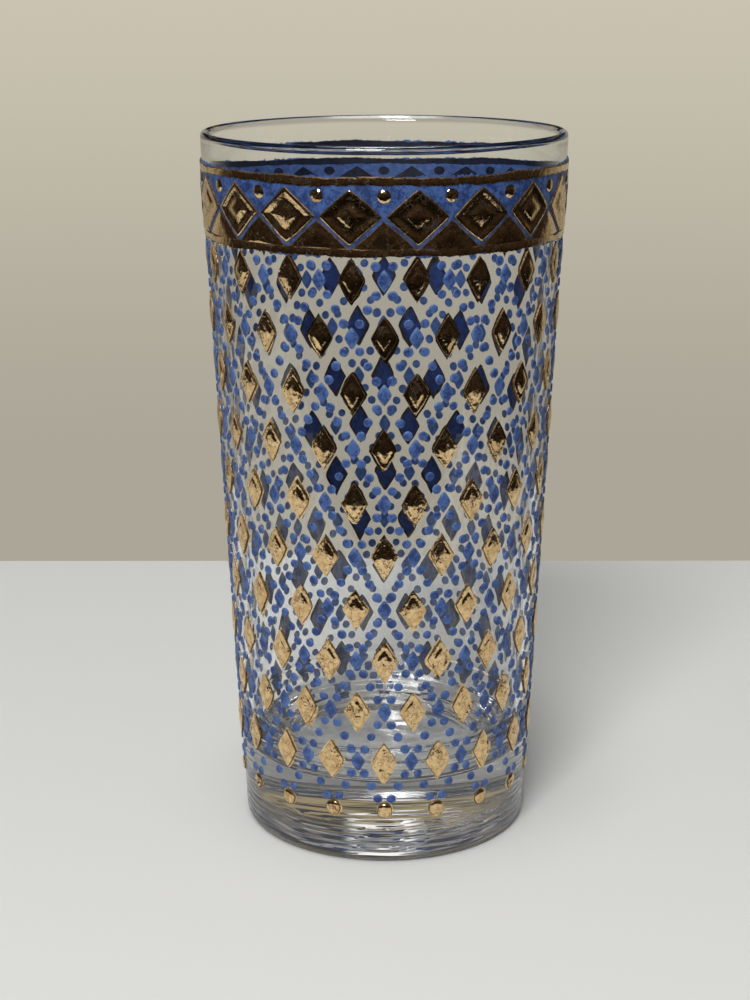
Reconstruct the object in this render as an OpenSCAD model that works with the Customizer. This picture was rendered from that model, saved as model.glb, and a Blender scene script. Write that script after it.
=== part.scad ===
// Tapered highball glass with a heavy clear base, raised blue enamel and fired gold.
// Millimetres, +Z up, origin at the middle of the foot on the table.

/* [Glass] */
// Overall height, table to lip
glass_h = 139; // [120:0.5:160]
// Outer diameter of the straight side at the lip
rim_d = 70; // [64:0.5:80]
// Outer diameter that the straight side would have at the table
base_d = 57; // [52:0.5:62]
// Thickness of the wall at the lip, which is fully rounded
lip_wall = 1.5; // [1.2:0.1:2.4]
// Thickness of the wall where it meets the floor
floor_wall = 2.6; // [2:0.1:4]
// Thickness of the solid base
floor_t = 14.5; // [8:0.5:22]
// Rounding inside, between floor and wall
floor_fillet = 10; // [3:0.5:12]
// Rounding of the heel, between side and table
heel_r = 2; // [1:0.25:5]
// Diameter of the hollow under the base
dish_d = 41; // [30:0.5:44]
// Depth of the hollow under the base
dish_depth = 0.4; // [0.3:0.1:2]

/* [Band under the lip] */
// Clear glass between the lip and the band
lip_clear = 5.3; // [3:0.1:10]
// Height of the band
band_h = 14; // [12:0.25:18]
// Thickness of the band's blue ground
ground_t = 0.25; // [0.15:0.05:0.5]
// Height of each gold edge line
line_h = 1.5; // [0.8:0.1:2]
// Thickness of each gold edge line
line_t = 0.15; // [0.1:0.05:0.4]
// Number of gold lozenges round the band
band_count = 18; // [12:1:20]
// Blue ground left between one band lozenge and the next
lozenge_space = 0.9; // [0.6:0.1:4]
// Blue ground left between a band lozenge's points and the gold lines
point_gap = 0.5; // [0.3:0.1:1.5]
// Blue ground left between a band lozenge and the gold peaks that rise from the lower line beside it
peak_space = 0.8; // [0.5:0.1:2]
// Thickness of a band lozenge's gold sheet
sheet_t = 0.12; // [0.1:0.02:0.3]
// Width of the raised frame along the edge of a band lozenge and of a peak
frame_w = 0.9; // [0.5:0.1:1.4]
// How far that frame stands above the gold sheet
frame_rise = 0.2; // [0.1:0.05:0.4]
// Width of the raised boss in the middle of a band lozenge
boss_w = 3.9; // [2:0.1:5]
// Height of that boss
boss_h = 3.6; // [2:0.1:5]
// How far that boss stands above the gold sheet
boss_rise = 0.35; // [0.1:0.05:0.5]
// Diameter of the gold beads above and between the band lozenges
band_bead_d = 2.4; // [1:0.1:3]
// How far the gold beads stand above the blue ground
band_bead_t = 0.4; // [0.2:0.05:0.6]
// Blue ground left between a gold bead and the upper gold line
bead_gap = 0.6; // [0.3:0.1:1.2]

/* [Studs] */
// Number of studs round each level
columns = 18; // [12:1:18]
// Height between one level of studs and the next
level_pitch = 10.4; // [9:0.1:14]
// Height of the lowest level of studs above the table
first_level = 21.8; // [20:0.1:26]
// Width of a gold stud
stud_w = 4.8; // [4:0.1:6]
// Height of a gold stud
stud_h = 8; // [6:0.1:8.6]
// Thickness of the blue enamel pad under a stud's gold
pad_t = 0.3; // [0.2:0.05:0.5]
// Thickness of the gold over every pad
gold_t = 0.12; // [0.1:0.02:0.3]
// Width of the raised heart of a stud
heart_w = 2.2; // [1.5:0.1:3]
// Height of that heart
heart_h = 3.6; // [2:0.1:4.5]
// How far that heart stands above the gold
heart_rise = 0.2; // [0.1:0.05:0.4]

/* [Trellis and hem] */
// Diameter of a blue trellis dot
dot_d = 1.75; // [1.2:0.05:2]
// How far the trellis enamel stands above the glass
dot_t = 0.35; // [0.2:0.05:0.5]
// Number of dots between two crossings
dots_per_side = 3; // [2:1:3]
// Width of the blue lozenge at a crossing
cross_w = 2.6; // [2:0.1:3]
// Height of the blue lozenge at a crossing
cross_h = 4; // [3:0.1:4.2]
// Diameter of a gold bead on the hem
hem_bead_d = 3.2; // [2:0.1:3.6]
// How far the hem's beads stand above the glass
hem_bead_t = 0.55; // [0.4:0.05:0.8]
// Least clear glass between the trellis and the band
field_gap = 0.2; // [0.1:0.1:1]

/* [Hidden] */
$fn = 144;
drop_fn = 32;
// A lozenge is stamped this far to each side of the glass surface before it is trimmed to a film
stamp_reach = 2;

enamel_blue = "#3f68c0";
bright_gold = "#c79a4e";
clear_glass = [0.93, 0.95, 0.95, 0.35];

function polar(r, a) = [r * cos(a), r * sin(a)];

taper = atan((rim_d - base_d) / 2 / glass_h);
function glass_r(z) = base_d / 2 + z * tan(taper);

// Middle of the heel's rounding and of the lip's, each tangent to the straight outer side
heel_c = [glass_r(heel_r) - heel_r / cos(taper), heel_r];
lip_r = lip_wall / 2;
lip_c = [glass_r(glass_h - lip_r) - lip_r / cos(taper), glass_h - lip_r];

// Inner wall: from the floor's corner, tangent to the inside of the lip
corner = [glass_r(floor_t) - floor_wall, floor_t];
to_lip = lip_c - corner;
inner_angle = atan2(to_lip.y, to_lip.x) + asin(lip_r / norm(to_lip));
fillet_run = floor_fillet * (1 - cos(inner_angle)) / sin(inner_angle);
fillet_c = corner + polar(fillet_run, inner_angle) + polar(floor_fillet, inner_angle + 90);

// Radius of a dome of diameter d that stands t high
function dome_r(d, t) = (pow(d / 2, 2) + pow(t, 2)) / (2 * t);

// The band's heights, and the lozenges that fill it between its gold lines
band_top = glass_h - lip_clear;
band_bottom = band_top - band_h;
band_middle = (band_top + band_bottom) / 2;
band_pitch = 2 * PI * glass_r(band_middle) / band_count;
band_lozenge_w = band_pitch - lozenge_space;
band_lozenge_h = band_h - 2 * (line_h + point_gap);
bead_inset = line_h + bead_gap + band_bead_d / 2;
// Peaks between the lozenges, with sides parallel to theirs
slant = band_lozenge_w / band_lozenge_h;
peak_w = band_pitch + 2 * (slant * point_gap - peak_space * norm([1, slant]));
peak_h = peak_w / slant / 2;

// Levels of studs that fit between the hem and the band
levels = floor((band_bottom - first_level - stud_h / 2 - field_gap) / level_pitch) + 1;
column_step = 360 / columns;
function level_z(level) = first_level + level * level_pitch;
// Studs and crossings take turns round each level, and swap places on the next
function stud_angle(level) = (level % 2 == 0 ? 0.5 : 0) * column_step;
function cross_angle(level) = stud_angle(level + 1);
stud_top = pad_t + gold_t;

function two_digits(n) = str(n < 10 ? "0" : "", n);
function stud_pads_name(level) = str("stud_pads_row_", two_digits(level + 1));
function stud_gold_name(level) = str("stud_gold_row_", two_digits(level + 1));
function trellis_name(level) = str("trellis_tier_", two_digits(level + 2));

// Slice of a circle between two directions less than half a turn apart
module sector(centre, r, from, to) {
    far = 1.2 * r / cos((to - from) / 2);
    intersection() {
        translate(centre) circle(r);
        polygon([centre, centre + polar(far, from), centre + polar(far, to)]);
    }
}

// Half section of the glass, right of its axis
module glass_section() {
    side = -taper;
    inside = inner_angle + 90;
    hollow_r = dome_r(dish_d, dish_depth);
    difference() {
        union() {
            polygon([
                [0, 0],
                [heel_c.x, 0],
                heel_c + polar(heel_r, side),
                lip_c + polar(lip_r, side),
                lip_c + polar(lip_r, 90),
                lip_c + polar(lip_r, inside),
                corner + polar(fillet_run, inner_angle),
                [fillet_c.x, floor_t],
                [0, floor_t]
            ]);
            sector(heel_c, heel_r, -90, side);
            sector(lip_c, lip_r, side, 90);
            sector(lip_c, lip_r, 90, inside);
        }
        sector(fillet_c, floor_fillet, -90, inner_angle - 90);
        translate([0, dish_depth - hollow_r]) circle(hollow_r, $fn = 5 * $fn);
    }
}

module tumbler() {
    color(clear_glass) rotate_extrude() glass_section();
}

// Sleeve round the glass from height low to high, between two distances from its surface
module film(low, high, inner, outer) {
    near = inner / cos(taper);
    far = outer / cos(taper);
    rotate_extrude()
        polygon([
            [glass_r(low) + near, low],
            [glass_r(low) + far, low],
            [glass_r(high) + far, high],
            [glass_r(high) + near, high]
        ]);
}

// One ring of equal shapes on the glass: their X runs down the side, Y round it and Z straight out
module ring_of(count, start, z) {
    for (i = [0 : count - 1])
        rotate([0, 0, start + i * 360 / count])
            translate([glass_r(z), 0, z])
                rotate([0, 90 + taper, 0]) children();
}

// Lozenge w wide and h high, drawn in all round by inset
module lozenge(w, h, inset = 0) {
    share = 1 - inset / (w * h / 2 / norm([w, h]));
    scale(share) polygon([[-h / 2, 0], [0, w / 2], [h / 2, 0], [0, -w / 2]]);
}

// Ring of lozenges that follow the glass, between two distances from its surface
module lozenge_ring(count, start, z, w, h, inner, outer, inset = 0) {
    intersection() {
        film(z - h, z + h, inner, outer);
        ring_of(count, start, z)
            translate([0, 0, -stamp_reach]) linear_extrude(2 * stamp_reach) lozenge(w, h, inset);
    }
}

// Half section of a domed drop of diameter d that stands t high
module drop_section(d, t) {
    r = dome_r(d, t);
    intersection() {
        translate([0, t - r]) circle(r, $fn = drop_fn);
        square([r, t]);
    }
}

module drop(d, t) {
    rotate_extrude($fn = drop_fn) drop_section(d, t);
}

// Blue ground of the band
module band_ground() {
    color(enamel_blue) film(band_bottom, band_top, 0, ground_t);
}

module band_line(low) {
    color(bright_gold) film(low, low + line_h, ground_t, ground_t + line_t);
}

// Gold lozenges on the band's ground: a sheet with a raised frame and a boss in the middle
module band_lozenges() {
    w = band_lozenge_w;
    h = band_lozenge_h;
    sheet_top = ground_t + sheet_t;
    frame_top = sheet_top + frame_rise;
    color(bright_gold) union() {
        difference() {
            lozenge_ring(band_count, 0, band_middle, w, h, ground_t, frame_top);
            lozenge_ring(band_count, 0, band_middle, w, h, sheet_top, stamp_reach, frame_w);
        }
        lozenge_ring(band_count, 0, band_middle, boss_w, boss_h, ground_t, sheet_top + boss_rise);
    }
}

// Gold beads in the upper blue corners between the band's lozenges
module band_beads() {
    color(bright_gold)
        ring_of(band_count, 180 / band_count, band_top - bead_inset)
            translate([0, 0, ground_t]) drop(band_bead_d, band_bead_t);
}

// Upper halves of lozenges on the lower line, from the ground out to a distance from the glass
module half_lozenges(outer, inset) {
    low = band_bottom + line_h;
    intersection() {
        film(low, low + peak_h, ground_t, outer);
        ring_of(band_count, 180 / band_count, low)
            translate([0, 0, -stamp_reach]) linear_extrude(2 * stamp_reach) lozenge(peak_w, 2 * peak_h, inset);
    }
}

// Gold peaks in the lower corners between the band's lozenges: a sheet with a raised middle
module band_peaks() {
    sheet_top = ground_t + sheet_t;
    color(bright_gold) union() {
        half_lozenges(sheet_top, 0);
        half_lozenges(sheet_top + frame_rise, frame_w);
    }
}

// Blue enamel pads under one level of gold studs
module stud_pads(level) {
    color(enamel_blue)
        lozenge_ring(columns, stud_angle(level), level_z(level), stud_w, stud_h, 0, pad_t, gold_t);
}

// Gold caps over one level of pads, down to the glass round each pad's edge
module stud_gold(level) {
    z = level_z(level);
    start = stud_angle(level);
    color(bright_gold) union() {
        difference() {
            lozenge_ring(columns, start, z, stud_w, stud_h, 0, stud_top);
            lozenge_ring(columns, start, z, stud_w, stud_h, -stamp_reach, pad_t, gold_t);
        }
        lozenge_ring(columns, start, z, heart_w, heart_h, pad_t, stud_top + heart_rise);
    }
}

// Blue enamel of one tier: a lozenge at each crossing and the dots from there up to the next level.
// The lowest tier rises from the hem's beads and has no crossings of its own.
module trellis_tier(level) {
    z = level_z(level);
    start = cross_angle(level);
    rise = level_pitch / (dots_per_side + 1);
    turn = column_step / 2 / (dots_per_side + 1);
    color(enamel_blue) {
        if (level >= 0)
            ring_of(columns, start, z) linear_extrude(dot_t) lozenge(cross_w, cross_h);
        for (k = [1 : dots_per_side], way = [-1, 1])
            if (z + k * rise + dot_d / 2 + field_gap < band_bottom)
                ring_of(columns, start + way * k * turn, z + k * rise) drop(dot_d, dot_t);
    }
}

// Blue enamel pads under the hem's gold beads
module hem_pads() {
    color(enamel_blue)
        ring_of(columns, cross_angle(-1), level_z(-1))
            drop(hem_bead_d - 2 * gold_t, hem_bead_t - gold_t);
}

// Gold beads where the trellis ends near the foot, each a cap over its pad
module hem_gold() {
    color(bright_gold)
        ring_of(columns, cross_angle(-1), level_z(-1))
            rotate_extrude($fn = drop_fn)
                difference() {
                    drop_section(hem_bead_d, hem_bead_t);
                    drop_section(hem_bead_d - 2 * gold_t, hem_bead_t - gold_t);
                }
}

tumbler();
band_ground();
band_line(band_top - line_h);  // band_upper_line
band_line(band_bottom);  // band_lower_line
band_lozenges();
band_beads();
band_peaks();
hem_pads();
hem_gold();
for (level = [0 : levels - 1]) {
    stud_pads(level);
    stud_gold(level);
}
for (level = [-1 : levels - 1])
    trellis_tier(level);
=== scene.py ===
import math

import bpy
import numpy as np
from mathutils import Euler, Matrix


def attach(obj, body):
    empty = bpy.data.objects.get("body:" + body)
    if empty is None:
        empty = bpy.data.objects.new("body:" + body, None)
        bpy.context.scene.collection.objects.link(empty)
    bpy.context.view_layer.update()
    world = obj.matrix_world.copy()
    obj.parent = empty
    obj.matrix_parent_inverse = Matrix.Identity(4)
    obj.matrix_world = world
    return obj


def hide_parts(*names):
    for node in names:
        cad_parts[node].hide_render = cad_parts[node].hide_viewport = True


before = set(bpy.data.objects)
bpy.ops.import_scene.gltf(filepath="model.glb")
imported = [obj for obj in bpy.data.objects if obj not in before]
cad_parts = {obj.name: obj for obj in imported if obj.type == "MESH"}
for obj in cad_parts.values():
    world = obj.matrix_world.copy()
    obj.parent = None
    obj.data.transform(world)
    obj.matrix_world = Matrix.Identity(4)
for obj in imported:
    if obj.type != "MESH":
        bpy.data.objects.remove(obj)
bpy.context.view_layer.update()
levelCount = sum(name.startswith("stud_gold_row_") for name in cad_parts)
print("frame loaded:", len(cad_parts), "nodes,", levelCount, "levels of studs")


# shader maths: a Wire is one output socket, and an expression on Wires adds Math nodes
class Wire:
    def __init__(self, tree, socket=None):
        self.tree = tree
        self.socket = socket

    # one node of any type: settings first, then its sockets' values or links
    def node(self, kind, settings=None, sockets=None, output=0):
        made = self.tree.nodes.new("ShaderNode" + kind)
        for key, value in (settings or {}).items():
            if key == "stops":
                ramp = made.color_ramp.elements
                while len(ramp) < len(value):
                    ramp.new(0.5)
                for stop, (place, colour) in zip(ramp, value):
                    stop.position = place
                    stop.color = (*colour, 1)
            else:
                setattr(made, key, value)
        for key, value in (sockets or {}).items():
            if isinstance(value, Wire):
                self.tree.links.new(value.socket, made.inputs[key])
            else:
                made.inputs[key].default_value = value
        return Wire(self.tree, made.outputs[output] if made.outputs else None)

    def math(self, operation, first, second):
        return self.node("Math", {"operation": operation}, {0: first, 1: second})

    def __add__(self, other):
        return self.math("ADD", self, other)

    def __sub__(self, other):
        return self.math("SUBTRACT", self, other)

    def __rsub__(self, other):
        return self.math("SUBTRACT", other, self)

    def __mul__(self, other):
        return self.math("MULTIPLY", self, other)

    __radd__ = __add__
    __rmul__ = __mul__

    # 0 below low, 1 above high, smooth between
    def step(self, low, high):
        spread = {"Value": self, "From Min": low, "From Max": high}
        return self.node("MapRange", {"interpolation_type": "SMOOTHSTEP"}, spread)

    def noise(self, scale, detail=2.0, roughness=0.5):
        place = self.node("TexCoord", output=3)
        return self.node("TexNoise", None,
                         {"Vector": place, "Scale": scale, "Detail": detail, "Roughness": roughness})

    # colour a where this is 0, b where it is 1; a colour is three numbers or a Wire
    def tint(self, a, b):
        a, b = [c if isinstance(c, Wire) else (*c, 1) for c in (a, b)]
        return self.node("Mix", {"data_type": "RGBA"}, {0: self, 6: a, 7: b}, output=2)

    def bump(self, height, strength, distance):
        return self.node("Bump", None, {"Height": height, "Strength": strength, "Distance": distance})


def newMaterial(name):
    made = bpy.data.materials.new(name)
    made.use_nodes = True
    made.node_tree.nodes.clear()
    return made, Wire(made.node_tree)


def finishMaterial(wire, sockets):
    shader = wire.node("BsdfPrincipled", None, sockets)
    wire.node("OutputMaterial", None, {"Surface": shader})


# the glass: half section of the tumbler, as in the part, in metres
tumbler = {
    "height": 0.139,
    "rimRadius": 0.035,  # of the straight outer side, at the lip
    "baseRadius": 0.0285,  # of the same straight side, carried down to the table
    "lipWall": 0.0015,
    "lipTall": 0.00115,  # half height of the lip's rounding, a half ellipse
    "floorWall": 0.0026,
    "floorHeight": 0.0145,
    "floorFillet": 0.01,
    "heelRadius": 0.002,
    "dishRadius": 0.0205,
    "dishDepth": 0.0004,
    "contact": 0.00003,  # the glass reaches this far into enamel and gold, so that no air shows between
    "bead": 0.00033,  # swelling of the inside at the lip
    "beadReach": 0.75,  # how far it runs round the lip, as a share of the lip's wall
    "waist": 0.00027,  # thinning of the wall below it, greatest at waistDepth and gone at waistEnd
    "waistDepth": 0.0085,
    "waistEnd": 0.04,
    "turns": 288,
    # rows of points on each stretch of the profile; base and side, both on the outside, meet at baseTop
    "rows": {"dish": 20, "heel": 20, "base": 72, "side": 50,
             "lip": 32, "wall": 112, "fillet": 80, "floor": 24},
    "wallCrowd": 1.3,  # above 1, the rows of the wall stand closer near the lip
    "scuffShade": (20, 36),  # rows of faces of the heel that are worn dull and tinted dark as painted shade
    # unevenness of the inside; each wave has a strength, a number round the glass and radians a metre
    "ripple": 0.00003,
    "rippleWaves": [(1, 3, 90), (0.6, 7, -160)],
    "rippleFade": 0.004,  # radius about the middle of the floor in which it fades out
    # rings on the floor's rounding, the underside and the base; each wave has a strength, radians a metre
    # and sways, and each sway a reach, a number round the glass and a start
    "rings": 0.00015,
    "ringWaves": [(1, 1500, [(0.9, 2, 0.5), (0.25, 7, 0)]), (0.7, 2900, [(0.8, 3, 2)])],
    "toolMarks": 0.000006,
    "toolWaves": [(1, 2100, [(1.2, 2, 0.5)]), (0.7, 3700, [(1, 3, 0)])],
    "toolFade": 0.003,
    "baseMarks": 0.000026,
    "baseWaves": [(1, 4700, [(1.6, 3, 1), (0.9, 11, 0)]), (0.4, 7900, [(1.4, 5, 0), (0.8, 17, 2)])],
    "baseLow": 0.0012,
    "baseTop": 0.0092,
    "baseFade": (0.001, 0.002),  # at the low and the top end
    "baseUneven": (1.35, 0.35),  # strength on average, and how much it gains at two sides of the glass
    "ridge": 0.00038,  # a ring at the wall's end, ridgePlace past it, which swings this much and this often
    "ridgePlace": 0.0004,
    "ridgeWidth": 0.00045,
    "ridgeSwing": (0.3, 3),
}
taper = math.atan((tumbler["rimRadius"] - tumbler["baseRadius"]) / tumbler["height"])
# stretches of the profile, in their order
dishPart, heelPart, sidePart, lipPart, wallPart, filletPart, floorPart = range(7)
sharpAngle = math.radians(52)  # faces that meet more steeply have a crisp edge


def sideRadius(height):
    return tumbler["baseRadius"] + height * math.tan(taper)


def polar(radius, angle):
    return np.stack([radius * np.cos(angle), radius * np.sin(angle)], -1)


# a mesh of rings: rings[i, row, side] are points, each row is a closed ring of one of several equal shapes;
# lower and upper are the poles that close a shape, or None where the last row joins the first; rowSlots
# numbers the material of each row of faces, and its last number holds for all rows above
def ringMesh(name, rings, lower, upper, rowSlots, materials):
    count, rows, sides = rings.shape[:3]
    points = rings.reshape(-1, 3)
    item, row, side = np.meshgrid(np.arange(count), np.arange(rows), np.arange(sides), indexing="ij")
    index = (item * rows + row) * sides + side
    ahead = np.roll(index, -1, 2)
    slotOf = np.array(rowSlots + rowSlots[-1:] * (rows + 1), np.int32)
    if lower is None:
        above, aboveAhead = np.roll(index, -1, 1), np.roll(ahead, -1, 1)
        quads = np.stack([index, ahead, aboveAhead, above], -1)
        slots = slotOf[row].ravel()
        fans = np.zeros((0, 3), int)
    else:
        quads = np.stack([index[:, :-1], ahead[:, :-1], ahead[:, 1:], index[:, 1:]], -1)
        slots = np.concatenate([slotOf[row[:, 1:]].ravel(), np.repeat(slotOf[[0, rows]], count * sides)])
        first = len(points)
        points = np.concatenate([points, lower, upper])
        poles = np.broadcast_to(np.arange(count)[:, None], (count, sides))
        bottom = np.stack([ahead[:, 0], index[:, 0], first + poles], -1)
        top = np.stack([index[:, -1], ahead[:, -1], first + count + poles], -1)
        fans = np.concatenate([bottom.reshape(-1, 3), top.reshape(-1, 3)])
    quads = quads.reshape(-1, 4)
    corners = np.concatenate([quads.ravel(), fans.ravel()])
    lengths = np.repeat([4, 3], [len(quads), len(fans)])
    mesh = bpy.data.meshes.new(name)
    mesh.vertices.add(len(points))
    mesh.vertices.foreach_set("co", points.astype(np.float32).ravel())
    mesh.loops.add(len(corners))
    mesh.loops.foreach_set("vertex_index", corners.astype(np.int32))
    mesh.polygons.add(len(lengths))
    mesh.polygons.foreach_set("loop_start", (np.cumsum(lengths) - lengths).astype(np.int32))
    for material in materials:
        mesh.materials.append(material)
    mesh.polygons.foreach_set("material_index", slots)
    mesh.polygons.foreach_set("use_smooth", np.ones(len(lengths), bool))
    mesh.update(calc_edges=True)
    mesh.validate()
    mesh.set_sharp_from_angle(angle=sharpAngle)
    made = bpy.data.objects.new(name, mesh)
    bpy.context.scene.collection.objects.link(made)
    return made


def addPiece(piece, slot, *nodes):
    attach(piece, "root")
    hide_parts(*nodes)


# profile from the middle of the underside, out over foot and heel, up the side, round the lip and down
# inside to the middle of the floor; each round stretch is an arc tangent to its neighbours
def tumblerProfile():
    t = tumbler
    skin, rows = t["contact"], t["rows"]
    heel = np.array([sideRadius(t["heelRadius"]) - t["heelRadius"] / math.cos(taper), t["heelRadius"]])
    lipRadius, lipTall = t["lipWall"] / 2, t["lipTall"]
    lipHeight = t["height"] - lipTall
    lip = np.array([sideRadius(lipHeight) - lipRadius / math.cos(taper), lipHeight])
    corner = np.array([sideRadius(t["floorHeight"]) - t["floorWall"], t["floorHeight"]])
    toLip = lip - corner
    inner = math.atan2(toLip[1], toLip[0]) + math.asin(lipRadius / np.linalg.norm(toLip))
    run = t["floorFillet"] * (1 - math.cos(inner)) / math.sin(inner)
    fillet = corner + polar(run, inner) + polar(t["floorFillet"], inner + math.pi / 2)
    hollow = (t["dishRadius"] ** 2 + t["dishDepth"] ** 2) / (2 * t["dishDepth"])
    out = np.linspace(0, t["dishRadius"], rows["dish"])
    dish = np.stack([out, np.sqrt(hollow ** 2 - out ** 2) + t["dishDepth"] - hollow], -1)
    heelArc = heel + polar(t["heelRadius"] + skin, np.linspace(-math.pi / 2, -taper, rows["heel"]))
    heelArc[:, 1] = np.maximum(heelArc[:, 1], 0)
    ends = [-math.atan(lipTall / lipRadius * math.tan(taper)),
            math.pi - math.atan(lipTall / lipRadius / math.tan(inner))]
    lipArc = lip + polar(1, np.linspace(*ends, rows["lip"])) * [lipRadius, lipTall]
    filletAngles = np.linspace(inner - math.pi / 2, -math.pi / 2, rows["fillet"])
    filletArc = fillet + polar(t["floorFillet"], filletAngles)
    # closer rows below baseTop and near the lip
    sideStart = heelArc[-1]
    sideEnd = lipArc[0] + np.array([skin, 0])
    turning = t["baseTop"] / t["height"]
    share = [np.linspace(0, turning, rows["base"])[1:], np.linspace(turning, 1, rows["side"])[1:-1]]
    side = sideStart + (sideEnd - sideStart) * np.concatenate(share)[:, None]
    share = np.linspace(0, 1, rows["wall"])[1:-1, None]
    wall = lipArc[-1] + (filletArc[0] - lipArc[-1]) * share ** t["wallCrowd"]
    floor = filletArc[-1] * np.linspace(1, 0, rows["floor"])[1:, None] ** [1, 0]
    stretches = [dish, heelArc, side, lipArc, wall, filletArc, floor]
    return np.concatenate(stretches), np.repeat(np.arange(len(stretches)), [len(s) for s in stretches])


# rings that wander round the glass: a sum of sines of the way along the profile, each shifted by sines of
# the turn
def wanderingRings(along, turn, waves):
    rings = 0
    for strength, pitch, sways in waves:
        phase = pitch * along
        for reach, count, start in sways:
            phase = phase + reach * np.sin(count * turn + start)
        rings = rings + strength * np.sin(phase)
    return rings


# the same below the surface only: cuts from 0 down
def ringCuts(along, turn, waves):
    deepest = sum(strength for strength, pitch, sways in waves)
    return -(wanderingRings(along, turn, waves) + deepest)


# the profile turned round the axis, and moved along its normals by a wave that is the sum of all unevenness
def makeTumbler(glass, scuffedShaded):
    t = tumbler
    profile, stretch = tumblerProfile()
    stretch = stretch[:, None]
    turn = np.linspace(0, 2 * math.pi, t["turns"], endpoint=False)
    radius, height = profile[:, :1], profile[:, 1:]
    along = np.cumsum(np.r_[0, np.hypot(*np.diff(profile, axis=0).T)])[:, None]
    begin = [along[np.argmax(stretch == part)] for part in range(floorPart + 1)]
    # slow waves round and up the inside
    wave = sum(strength * np.sin(count * turn + pitch * along)
               for strength, count, pitch in t["rippleWaves"])
    wave = t["ripple"] * wave * (stretch >= wallPart) * np.clip(radius / t["rippleFade"], 0, 1)
    # rings that fade out at both ends of the floor's rounding, and a ridge at its upper end, a bell curve
    past = along - begin[filletPart]
    share = np.clip(past / (begin[floorPart] - begin[filletPart]), 0, 1)
    rings = wanderingRings(along, turn, t["ringWaves"])
    wave = wave + t["rings"] * rings * np.sqrt(4 * share * (1 - share))
    swing, count = t["ridgeSwing"]
    bell = np.exp(-((past - t["ridgePlace"]) / t["ridgeWidth"]) ** 2)
    wave = wave + t["ridge"] * bell * (1 + swing * np.sin(count * turn))
    # cuts on the underside, clear of the foot that stands on the table
    cuts = ringCuts(along, turn, t["toolWaves"])
    wave = wave + t["toolMarks"] * cuts * (stretch == dishPart) * np.clip(radius / t["toolFade"], 0, 1)
    # cuts round the base, from the heel up the side, that fade out at both ends
    lowFade, topFade = t["baseFade"]
    near = np.clip((t["baseTop"] - height) / topFade, 0, 1)
    near = near * np.clip((height - t["baseLow"]) / lowFade, 0, 1)
    near = near * (stretch >= heelPart) * (stretch <= sidePart)
    mean, swing = t["baseUneven"]
    uneven = mean + swing * np.cos(2 * turn)
    wave = wave + t["baseMarks"] * uneven * ringCuts(along, turn, t["baseWaves"]) * near
    # lip: above the point where it meets the wall the bead runs out as a half cosine; below it the glass
    # thins along a parabola to the waist, and from there a half cosine leads back to its thickness
    below = along - begin[wallPart]
    bead, waist, depth = t["bead"], t["waist"], t["waistDepth"]
    around = np.clip(below / (-t["beadReach"] * t["lipWall"]), 0, 1)
    crown = bead * (0.5 + 0.5 * np.cos(math.pi * around))
    neck = (bead + waist) * np.clip(1 - below / depth, 0, 1) ** 2
    back = np.clip((below - depth) / (t["waistEnd"] - depth), 0, 1)
    neck = neck - waist * (0.5 + 0.5 * np.cos(math.pi * back))
    wave = wave + np.where(below > 0, neck, crown)
    tangent = np.gradient(profile, axis=0)
    normal = np.stack([tangent[:, 1], -tangent[:, 0]], -1)
    normal /= np.linalg.norm(normal, axis=1, keepdims=True)
    radius = radius + wave * normal[:, :1]
    height = height + wave * normal[:, 1:]
    points = np.stack([radius * np.cos(turn), radius * np.sin(turn), height], -1)
    low, high = t["scuffShade"]
    slots = [0] * low + [1] * (high - low) + [0]
    poles = points[:1, 0], points[-1:, 0]
    piece = ringMesh("tumblerGlass", points[None, 1:-1], *poles, slots, [glass, scuffedShaded])
    addPiece(piece, "clear_glass", "tumbler")


# places on the side of the glass: across, up and out are distances round it, up it and away from it
def layOnGlass(angle, height, across, up, out):
    radius = sideRadius(height + up * math.cos(taper)) + out * math.cos(taper)
    turn = angle + across / sideRadius(height)
    z = height + up * math.cos(taper) - out * math.sin(taper) + 0 * turn
    return np.stack([radius * np.cos(turn), radius * np.sin(turn), z], -1)


stamped = {
    "harmonics": (2, 3, 4, 5, 6),  # of an edge that wavers
    "thinnest": 0.9,  # share of the full height
    "ragged": 0.03,
    "spill": (0.02, 0.13),  # how far gold runs over its edge: mean and spread, as shares of the outline
    "spillMost": 0.4,
    "spillPower": 3,  # the higher, the narrower the run
    "leanSpread": 1.1,  # radians about straight down, the way it runs
}


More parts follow.
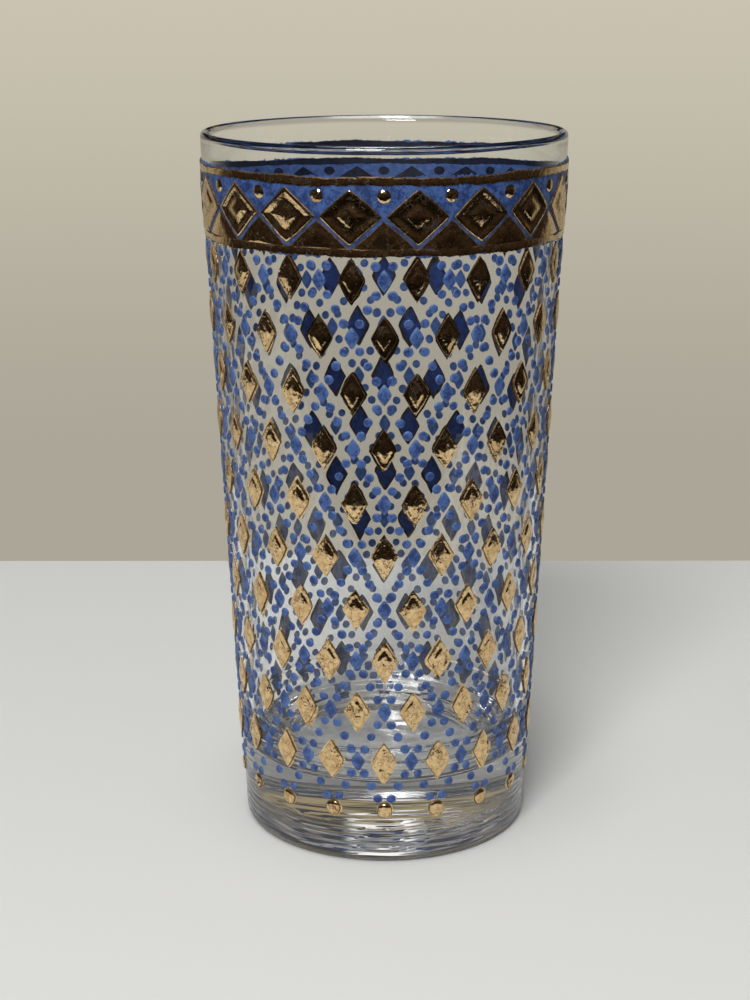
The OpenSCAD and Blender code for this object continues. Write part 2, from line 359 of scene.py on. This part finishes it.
# rings of stamped shapes: each row of section gives the share of the outline, the height above the glass
# and the share of the slip; the outline is |x|^p + |y|^p = 1, cut off below least, with an edge that wavers
# by a few harmonics; rows with a full share of the slip are the thin rim, which is ragged and spills over
def stampRings(angle, height, halfWidth, halfHeight, section, power, sides, waver, slip, rng, least=-1):
    count = len(angle)
    turn = np.linspace(0, 2 * math.pi, sides, endpoint=False)
    cosine, sine = np.cos(turn), np.sin(turn)
    x = np.sign(cosine) * np.abs(cosine) ** (2 / power)
    y = np.maximum(np.sign(sine) * np.abs(sine) ** (2 / power), least)
    order = np.array(stamped["harmonics"])[:, None]
    swell = rng.normal(0, waver, (count, len(order), 1)) / np.sqrt(order)
    phase = rng.uniform(0, 2 * math.pi, (count, len(order), 1))
    edge = 1 + (swell * np.cos(order * turn + phase)).sum(1)[:, None, :]
    share, out, drift = np.array(section).T[:, None, :, None]
    offset = rng.normal(0, slip, (count, 2, 1, 1))
    thick = rng.uniform(stamped["thinnest"], 1, (count, 1, 1))
    spill = np.clip(rng.normal(*stamped["spill"], (count, 1, 1)), 0, stamped["spillMost"])
    lean = rng.normal(-math.pi / 2, stamped["leanSpread"], (count, 1, 1))
    run = spill * np.maximum(np.cos(turn - lean), 0) ** stamped["spillPower"]
    ragged = rng.normal(0, stamped["ragged"], (count, 1, sides)) + run
    edge = edge + ragged * (drift == 1)
    a, h = angle[:, None, None], height[:, None, None]
    across = halfWidth * share * x * edge + drift * offset[:, 0]
    up = halfHeight * share * y * edge + drift * offset[:, 1]
    rings = layOnGlass(a, h, across, up, out * thick * np.ones(sides))
    return rings, rings[:, 0].mean(1), rings[:, -1].mean(1)


def ringPlaces(columns, start, height):
    angle = start + np.arange(columns) * 2 * math.pi / columns
    return angle, np.full(columns, height)


print("helpers ready")

# colours of the finishes, which clouds mix: a deep and a pale one
tones = {
    "blueEnamel": [(0.0105, 0.031, 0.131), (0.052, 0.114, 0.317)],
    "blueEnamelRimPaintedLight": [(0.02, 0.051, 0.174), (0.083, 0.158, 0.372)],  # painted light on a drop's thin edge
    # painted light: the underside of bare enamel is a brighter blue, standing in for light that comes
    # through the glass
    "blueEnamelUnderPaintedLight": [(0.047, 0.11, 0.34), (0.09, 0.185, 0.48)],
    # painted shade: undersides of enamel under gold are navy because gold keeps the light out
    "padUnderPaintedShade": [(0.008, 0.026, 0.13), (0.018, 0.055, 0.24)],
    "navyUnderPaintedShade": [(0.005, 0.008, 0.022), (0.011, 0.018, 0.05)],
    "firedGold": [(0.63, 0.425, 0.195), (0.87, 0.64, 0.355)],
    "firedGoldCreaseReflectionAndWear": [(0.2, 0.1, 0.06), (0.045, 0.034, 0.03)],  # painted dark crease reflections, and worn specks
    # edges: the dull brown of thin gold, darkened further as painted shade against the lamps' glare
    "firedGoldEdgeShaded": [(0.05, 0.032, 0.018), (0.24, 0.155, 0.07)],
    "firedGoldUnder": [(0.02, 0.014, 0.01), (0.06, 0.042, 0.028)],
}


# enamel: blue with a little grain
def makeEnamel(name):
    made, wire = newMaterial(name)
    cloud = (0.55 * wire.noise(2500, 4, 0.6) + 0.45 * wire.noise(620, 1)).step(0.4, 0.6)
    grain = wire.noise(7500, 2, 0.6)
    finishMaterial(wire, {
        "Base Color": cloud.tint(*tones[name]),
        "Roughness": 0.34 + 0.22 * grain,
        "Normal": wire.bump(grain, 0.5, 0.00006),
    })
    return made


# the underside of enamel or gold, seen through the glass: smooth, and navy as painted shade where gold
# keeps the light out
def makeUnder(name, scale, roughness):
    made, wire = newMaterial(name)
    cloud = wire.noise(scale, 3).step(0.3, 0.7)
    finishMaterial(wire, {"Base Color": cloud.tint(*tones[name]), "Roughness": roughness})
    return made


# fired gold: bright metal in soft waves, with thin brown lines where a noise crosses its middle, painted
# dark reflections of creases, and worn specks that show the dark enamel under it
def makeGold():
    made, wire = newMaterial("firedGold")
    broad = wire.noise(380, 4, 0.6)
    waves = wire.noise(1000, 1)
    fine = wire.noise(2600, 3, 0.6)
    worn = (0.55 * broad + 0.45 * fine).step(0.57, 0.6)
    level = wire.noise(560, 3, 0.6) - 0.5
    darkCreaseReflection = 0.7 - 0.7 * (level * level).step(0, 0.0005)
    leaf = wire.noise(900, 3).step(0.3, 0.7).tint(*tones["firedGold"])
    darkCreaseReflectionTone, wornTone = tones["firedGoldCreaseReflectionAndWear"]
    finishMaterial(wire, {
        "Base Color": worn.tint(darkCreaseReflection.tint(leaf, darkCreaseReflectionTone), wornTone),
        "Metallic": 1 - 0.3 * worn,
        "Roughness": 0.05 + 0.14 * fine + 0.3 * worn,
        "Normal": wire.bump(broad * 0.6 + waves * 0.35 + fine * 0.04, 0.8, 0.00018),
    })
    return made


# edges of the gold, where it is thin: dull and brown, and darker still as painted shade where lamps would
# glare
def makeGoldEdge():
    made, wire = newMaterial("firedGoldEdgeShaded")
    fine = wire.noise(2600, 3, 0.6)
    finishMaterial(wire, {
        "Base Color": fine.step(0.35, 0.65).tint(*tones["firedGoldEdgeShaded"]),
        "Metallic": 0.7,
        "Roughness": 0.42 + 0.2 * fine,
    })
    return made


def makeGlass(name, colour, roughness, shine):
    made, wire = newMaterial(name)
    finishMaterial(wire, {
        "Base Color": (*colour, 1),
        "Roughness": roughness,
        "IOR": 1.5,
        "Specular IOR Level": shine,
        "Transmission Weight": 1.0,
    })
    return made


# clear glass and that of the worn heel, tinted dark as painted shade: colour, roughness, shine
glass = makeGlass("clearGlass", (0.985, 0.99, 0.99), 0.0, 0.5)
scuffedShaded = makeGlass("scuffedShadedGlass", (0.14, 0.145, 0.16), 0.25, 0.1)
enamel, enamelRimPaintedLight = makeEnamel("blueEnamel"), makeEnamel("blueEnamelRimPaintedLight")
enamelUnderPaintedLight, padUnderPaintedShade, navyUnderPaintedShade = [makeUnder(name, 1100, 0.4) for name in
                                    ("blueEnamelUnderPaintedLight", "padUnderPaintedShade", "navyUnderPaintedShade")]
gold, goldUnder, goldEdgeShaded = makeGold(), makeUnder("firedGoldUnder", 900, 0.35), makeGoldEdge()
print("materials ready")

makeTumbler(glass, scuffedShaded)
print("tumbler ready")

# studs, trellis and hem: the same places as in the part
field = {
    "columns": 18,
    "levelPitch": 0.0104,
    "firstLevel": 0.0218,
    "studHalf": (0.0024, 0.004),
    "dotHalf": 0.000875,
    "dotsPerSide": 3,
    "crossHalf": (0.0013, 0.002),
    "hemHalf": 0.0016,
    "topGap": 0.0002,
    # corners of a section, from the middle of the underside outwards and over the top: share of the
    # outline, height above the glass, share of the slip
    "goldSection": [(0.88, 0.00027, 0), (0.88, 0, 0), (1.06, 0, 1), (1.06, 0.00004, 1), (0.99, 0.00005, 0),
                    (0.95, 0.00034, 0), (0.79, 0.00042, 0), (0.67, 0.00037, -0.4), (0.54, 0.00051, -0.4),
                    (0.3, 0.0006, -0.4)],
    "padSection": [(0.86, 0, 0), (0.86, 0.00025, 0)],
    "dotSection": [(1, 0, 0), (1.03, 0.0001, 0), (0.93, 0.00026, 0), (0.72, 0.00034, 0), (0.42, 0.0003, 0)],
    "hemSection": [(0.86, 0.00028, 0), (0.86, 0, 0), (1.05, 0, 1), (1.05, 0.00004, 1), (0.98, 0.00008, 0),
                   (0.86, 0.0003, 0), (0.55, 0.00049, -0.3), (0.25, 0.00054, -0.3)],
    # materials of the rows of faces of caps of gold, pads under them and drops
    "capSlots": [1, 1, 1, 0, 0, 2, 0],
    "padSlots": [1, 1, 0],
    "dropSlots": [1, 2, 2, 2, 0],
    "capSides": 16,
    "dropSides": 12,
    "studPower": 1.12,  # of the outline: 1 is a lozenge with straight sides, 2 is round
    "crossPower": 1.25,
    "roundPower": 2,
    "studWaver": 0.026,
    "hemWaver": 0.03,
    "dropWaver": 0.015,
    "slip": 0.00016,
    "dotTurn": 0.0012,  # how far dots stray, in radians round the glass and metres up it
    "dotRise": 0.00005,
    "dotSpread": 0.04,  # and how much their size varies
}
columnStep = 2 * math.pi / field["columns"]


def levelHeight(level):
    return field["firstLevel"] + level * field["levelPitch"]


# studs and crossings take turns round a level, and swap places on the next
def studStart(level):
    return columnStep / 2 if level % 2 == 0 else 0.0


# a ring of caps of gold, and the pads of enamel that they cover
def makeCapped(names, nodes, places, half, section, power, waver, rng):
    sides = field["capSides"]
    stamp = stampRings(*places, *half, section, power, sides, waver, field["slip"], rng)
    caps = ringMesh(names[0], *stamp, field["capSlots"], [gold, goldUnder, goldEdgeShaded])
    addPiece(caps, "bright_gold", nodes[0])
    stamp = stampRings(*places, *half, field["padSection"], power, sides, 0, 0, rng)
    pads = ringMesh(names[1], *stamp, field["padSlots"], [enamel, padUnderPaintedShade])
    addPiece(pads, "blue_enamel", nodes[1])


def makeStuds(level, rng):
    number = f"{level + 1:02d}"
    names = f"studGoldRow{number}", f"studPadsRow{number}"
    nodes = f"stud_gold_row_{number}", f"stud_pads_row_{number}"
    places = ringPlaces(field["columns"], studStart(level), levelHeight(level))
    makeCapped(names, nodes, places, field["studHalf"], field["goldSection"], field["studPower"],
               field["studWaver"], rng)


def makeHem(rng):
    names, nodes = ("hemGold", "hemPads"), ("hem_gold", "hem_pads")
    places = ringPlaces(field["columns"], studStart(0), levelHeight(-1))
    makeCapped(names, nodes, places, [field["hemHalf"]] * 2, field["hemSection"], field["roundPower"],
               field["hemWaver"], rng)


# one tier of drops: the crossings of a level, and rows of dots that climb from them both ways to the next
def makeTrellis(level, top, rng):
    height, start = levelHeight(level), studStart(level + 1)
    section, sides, waver = field["dotSection"], field["dropSides"], field["dropWaver"]
    parts = []
    for k in range(1, field["dotsPerSide"] + 1):
        share = k / (field["dotsPerSide"] + 1)
        dotHeight = height + share * field["levelPitch"]
        if dotHeight + field["dotHalf"] + field["topGap"] < top:
            for way in (-1, 1):
                first = start + way * share * columnStep / 2
                angle, heights = ringPlaces(field["columns"], first, dotHeight)
                angle = angle + rng.normal(0, field["dotTurn"], len(angle))
                heights = heights + rng.normal(0, field["dotRise"], len(angle))
                size = field["dotHalf"] * rng.normal(1, field["dotSpread"], (len(angle), 1, 1))
                power = field["roundPower"]
                parts.append(stampRings(angle, heights, size, size, section, power, sides, waver, 0, rng))
    if level >= 0:
        places = ringPlaces(field["columns"], start, height)
        power = field["crossPower"]
        parts.append(stampRings(*places, *field["crossHalf"], section, power, sides, waver, 0, rng))
    stamp = [np.concatenate(group) for group in zip(*parts)]
    number = f"{level + 2:02d}"
    piece = ringMesh(f"trellisTier{number}", *stamp, field["dropSlots"], [enamel, enamelUnderPaintedLight, enamelRimPaintedLight])
    addPiece(piece, "blue_enamel", f"trellis_tier_{number}")


# band under the lip: a blue sleeve with gold lines, lozenges, peaks and beads on it
band = {
    "top": 0.1337,
    "height": 0.014,
    "groundThick": 0.00025,
    "lineHeight": 0.0015,
    "lineThick": 0.00015,
    "count": 18,
    "space": 0.0009,
    "pointGap": 0.0005,
    "peakSpace": 0.0008,
    "beadHalf": 0.0012,
    "beadGap": 0.0006,
    "turns": 1200,
    "harmonics": (5, 260, 26),  # of ragged edges: waves round the glass, from and to, and how many of them
    "harmonicFade": 0.35,  # how fast they lose strength
    "ragged": 0.00012,
    "grain": 0.00013,  # quick unevenness of the edges of the ground and of the gold lines
    "lineGrain": 0.00005,
    "bevels": (0.00006, 0.0002),  # of the lower and the upper edge
    "under": -0.00001,  # gold reaches through the ground, so that its back, navy with painted shade, shows inside the glass
    "groundSlots": [1, 0],  # materials of the rows of faces
    "lineSlots": [1, 2, 2, 0, 2],
    "figureSlots": [1, 2, 2, 0],
    "beadSlots": [1, 2, 0],
    "figureSides": 28,
    "beadSides": 14,
    "figurePower": 1.06,
    "figureWaver": 0.016,
    "figureSlip": 0.00012,
    "beadPower": 2,
    "beadWaver": 0.02,
    "lozengeSection": [(1.0, -0.00001, 0), (1.0, 0.00046, 0), (0.97, 0.00055, 0), (0.89, 0.00057, 0),
                       (0.8, 0.00054, 0), (0.7, 0.0004, 0), (0.45, 0.00037, 0), (0.36, 0.00053, -1),
                       (0.2, 0.00066, -1)],
    "peakSection": [(1.0, -0.00001, 0), (1.0, 0.00033, 0), (0.96, 0.00037, 0), (0.83, 0.00038, 0),
                    (0.7, 0.00053, 0), (0.4, 0.00056, -1)],
    "beadSection": [(1, -0.00001, 0), (1.02, 0.00035, 0), (0.8, 0.00055, 0), (0.4, 0.00064, 0)],
}


# a sleeve round the glass: its section is a ring of (up, out) corners, and its two edges waver by a sum of
# harmonics and by a grain that is smoothed over three points
def makeSleeve(name, low, high, near, far, grain, slots, materials, rng):
    turn = np.linspace(0, 2 * math.pi, band["turns"], endpoint=False)
    order = np.round(np.geomspace(*band["harmonics"]))[:, None]
    edges = []
    for edge in range(2):
        swell = rng.normal(0, 1, order.shape) / order ** band["harmonicFade"]
        phase = rng.uniform(0, 2 * math.pi, order.shape)
        ragged = (swell * np.cos(order * turn + phase)).sum(0)
        edges.append(band["ragged"] * ragged / ragged.std())
    low, high = low + edges[0], high + edges[1]
    grain = rng.normal(0, grain, (2, band["turns"]))
    grain = (grain + np.roll(grain, 1, 1) + np.roll(grain, 2, 1)) / math.sqrt(3)
    low, high, middle = low + grain[0], high + grain[1], 0.2 * near + 0.8 * far
    lowBevel, highBevel = band["bevels"]
    corners = [(high, near), (low, near), (low, middle), (low + lowBevel, far), (high - highBevel, far),
               (high, middle)]
    rings = np.stack([layOnGlass(turn, up, 0, 0, out) for up, out in corners])
    return ringMesh(name, rings[None], None, None, slots, materials)


def makeBand(rng):
    top, low = band["top"], band["top"] - band["height"]
    ground, line = band["groundThick"], band["lineHeight"]
    blue, shine = [enamel, enamelUnderPaintedLight], [gold, navyUnderPaintedShade, goldEdgeShaded]
    piece = makeSleeve("bandGround", low, top, 0, ground, band["grain"], band["groundSlots"], blue, rng)
    addPiece(piece, "blue_enamel", "band_ground")
    for name, node, start in (("bandUpperLine", "band_upper_line", top - line),
                              ("bandLowerLine", "band_lower_line", low)):
        piece = makeSleeve(name, start, start + line, band["under"], ground + band["lineThick"],
                           band["lineGrain"], band["lineSlots"], shine, rng)
        addPiece(piece, "bright_gold", node)
    middle, pitch = (top + low) / 2, 2 * math.pi / band["count"]
    reach = pitch / 2 * sideRadius(middle)
    width, tall = reach - band["space"] / 2, band["height"] / 2 - line - band["pointGap"]
    figure = [band[key] for key in ("figurePower", "figureSides", "figureWaver", "figureSlip")]
    places = ringPlaces(band["count"], 0, middle)
    stamp = stampRings(*places, width, tall, band["lozengeSection"], *figure, rng)
    addPiece(ringMesh("bandLozenges", *stamp, band["figureSlots"], shine), "bright_gold", "band_lozenges")
    # peaks: upper halves of lozenges on the lower line, their sides parallel to those of the lozenges
    slant = width / tall
    width = reach + slant * band["pointGap"] - band["peakSpace"] * math.hypot(1, slant)
    places = ringPlaces(band["count"], pitch / 2, low + line)
    stamp = stampRings(*places, width, width / slant, band["peakSection"], *figure, rng, 0)
    addPiece(ringMesh("bandPeaks", *stamp, band["figureSlots"], shine), "bright_gold", "band_peaks")
    half = band["beadHalf"]
    places = ringPlaces(band["count"], pitch / 2, top - line - band["beadGap"] - half)
    stamp = stampRings(*places, half, half, band["beadSection"], band["beadPower"], band["beadSides"],
                       band["beadWaver"], 0, rng)
    addPiece(ringMesh("bandBeads", *stamp, band["beadSlots"], shine), "bright_gold", "band_beads")


rng = np.random.default_rng(41)
makeBand(rng)
print("band ready")
for level in range(levelCount):
    makeStuds(level, rng)
makeHem(rng)
print("studs and hem ready")
for level in range(-1, levelCount):
    makeTrellis(level, band["top"] - band["height"], rng)
print("trellis ready")

# table, light and camera
stage = {
    "near": -0.175,  # the table's edges, in metres
    "back": 0.168,
    "left": -0.42,
    "right": 0.24,
    "table": (0.74, 0.74, 0.71),
    "dome": 0.25,  # soft light from all round
    "through": 0.8,  # and where it comes through the glass, which also lets the lamps' light past
    # heights are those of a ray, from -1 straight down to 1 straight up; between two of them a tone passes
    # into the next
    "wall": [(0.41, 0.38, 0.312), (0.595, 0.557, 0.443)],  # low and high in the picture
    "wallHeights": (-0.26, 0.02),
    "dusk": (0.003, 0.0025, 0.0025),  # above the wall
    "duskHeights": (0.08, 0.15),
    # the rest shows in reflections only: in front dusk, above it the front's own tone, then a cooler one
    "front": (0.043, 0.03, 0.024),
    "frontHeights": (-0.42, 0.2),
    "upper": (0.022, 0.026, 0.042),
    "upperHeights": (0.15, 0.3),
    "behind": (0.3, 0.75),  # how far back a ray points where the front passes into the bands behind
    "window": (1.0, 0.98, 0.92),  # a bright patch high up behind
    "windowHeights": (0.42, 0.45, 0.48, 0.51),
    "windowSides": (0.005, 0.04),  # squares of how far to the side a ray points
    "overhead": (7.0, 7.0, 6.8),  # the ceiling
    "overheadHeights": (0.91, 0.96),
    "againHeights": (0.2, 0.3),  # above these, rays that were mirrored twice meet the front's tone
    # bands behind the glass, by height
    "room": [(-0.16, (0.38, 0.352, 0.288)), (0.1, (0.44, 0.415, 0.33)), (0.16, (0.02, 0.02, 0.022)),
             (0.25, (0.02, 0.02, 0.022)), (0.31, (0.31, 0.245, 0.13)), (0.36, (0.26, 0.205, 0.11)),
             (0.41, (0.02, 0.02, 0.026)), (0.5, (0.04, 0.04, 0.05)), (0.55, (0.32, 0.32, 0.32)),
             (0.6, (0.08, 0.08, 0.1)), (0.68, (0.06, 0.06, 0.08)), (0.74, (0.4, 0.39, 0.39)),
             (0.82, (0.12, 0.12, 0.13))],
    # name, watts, width, length, place
    "lamps": [("softKey", 12.0, 0.42, 0.5, (-0.22, -0.93, 0.9)),
              ("ceiling", 3.4, 0.2, 0.4, (-0.07, -0.15, 1.3))],
}


def makeTable():
    mesh = bpy.data.meshes.new("table")
    x0, x1, y0, y1 = stage["left"], stage["right"], stage["near"], stage["back"]
    mesh.from_pydata([(x0, y0, 0), (x1, y0, 0), (x1, y1, 0), (x0, y1, 0)], [], [(0, 1, 2, 3)])
    made, wire = newMaterial("paleTable")
    finishMaterial(wire, {"Base Color": (*stage["table"], 1), "Roughness": 0.5, "Specular IOR Level": 0.1})
    mesh.materials.append(made)
    table = bpy.data.objects.new("table", mesh)
    bpy.context.scene.collection.objects.link(table)


# the world lights evenly; the camera and what is seen straight through glass meet a plain wall, rays that
# glass bends upwards dusk, and reflections a room that is dim in front, banded by height behind, with a
# window and a bright ceiling, and dimmer once more for rays that were mirrored twice
def makeWorld():
    s = stage
    world = bpy.data.worlds.new("room")
    bpy.context.scene.world = world
    world.use_nodes = True
    world.node_tree.nodes.clear()
    wire = Wire(world.node_tree)
    depth = wire.node("LightPath", output="Glossy Depth")
    mirrored, again = depth.step(0.4, 0.6), depth.step(1.4, 1.6)
    diffused = wire.node("LightPath", output="Diffuse Depth").step(0.4, 0.6)
    passed = wire.node("LightPath", output="Is Transmission Ray")
    spot = wire.node("TexCoord", output="Generated")
    across, towards, rise = [wire.node("SeparateXYZ", None, {0: spot}, output=k) for k in range(3)]
    wall = rise.step(*s["wallHeights"]).tint(*s["wall"])
    straight = rise.step(*s["duskHeights"]).tint(wall, s["dusk"])
    stops = [(height / 2 + 0.5, colour) for height, colour in s["room"]]
    bands = wire.node("ValToRGB", {"stops": stops}, {0: rise * 0.5 + 0.5})
    patch = rise.step(*s["windowHeights"][:2]) * (1 - rise.step(*s["windowHeights"][2:]))
    patch = patch * (1 - (across * across).step(*s["windowSides"]))
    high = rise.step(*s["upperHeights"]).tint(s["front"], s["upper"])
    front = rise.step(*s["frontHeights"]).tint(s["dusk"], high)
    room = towards.step(*s["behind"]).tint(front, patch.tint(bands, s["window"]))
    room = rise.step(*s["overheadHeights"]).tint(room, s["overhead"])
    room = (again * rise.step(*s["againHeights"])).tint(room, s["front"])
    shown = mirrored.tint(straight, room)
    soft = passed.tint([s["dome"]] * 3, [s["through"]] * 3)
    light = wire.node("Background", None, {"Color": diffused.tint(shown, soft)})
    wire.node("OutputWorld", None, {"Surface": light})


def makeLamp(name, watts, width, length, place):
    lamp = bpy.data.lights.new(name, "AREA")
    lamp.energy = watts
    lamp.shape = "RECTANGLE"
    lamp.size = width
    lamp.size_y = length
    made = bpy.data.objects.new(name, lamp)
    bpy.context.scene.collection.objects.link(made)
    made.location = place
    aim = -made.location
    made.rotation_euler = aim.to_track_quat("-Z", "Y").to_euler()


camera = {
    "lens": 70.04,  # millimetres, as is the sensor along the picture's long side
    "sensor": 36,
    "place": (0, -0.3753, 0.1713),
    "down": 0.2742,  # radians below level
    "turn": 0.0050,
    "roll": -0.002,
    "clipStart": 0.01,
}


def makeCamera():
    data = bpy.data.cameras.new("photoView")
    data.lens = camera["lens"]
    data.sensor_width = camera["sensor"]
    data.clip_start = camera["clipStart"]
    made = bpy.data.objects.new("photoView", data)
    bpy.context.scene.collection.objects.link(made)
    made.location = camera["place"]
    aim = Euler((math.pi / 2 - camera["down"], 0, camera["turn"])).to_matrix()
    made.rotation_euler = (aim @ Euler((0, 0, camera["roll"])).to_matrix()).to_euler()
    bpy.context.scene.camera = made


makeTable()
makeWorld()
for lamp in stage["lamps"]:
    makeLamp(*lamp)
makeCamera()
scene = bpy.context.scene
scene.view_settings.view_transform = "Standard"
scene.cycles.max_bounces = 24
scene.cycles.transmission_bounces = 24
scene.cycles.glossy_bounces = 4
scene.cycles.transparent_max_bounces = 16
print("table, light and camera ready")
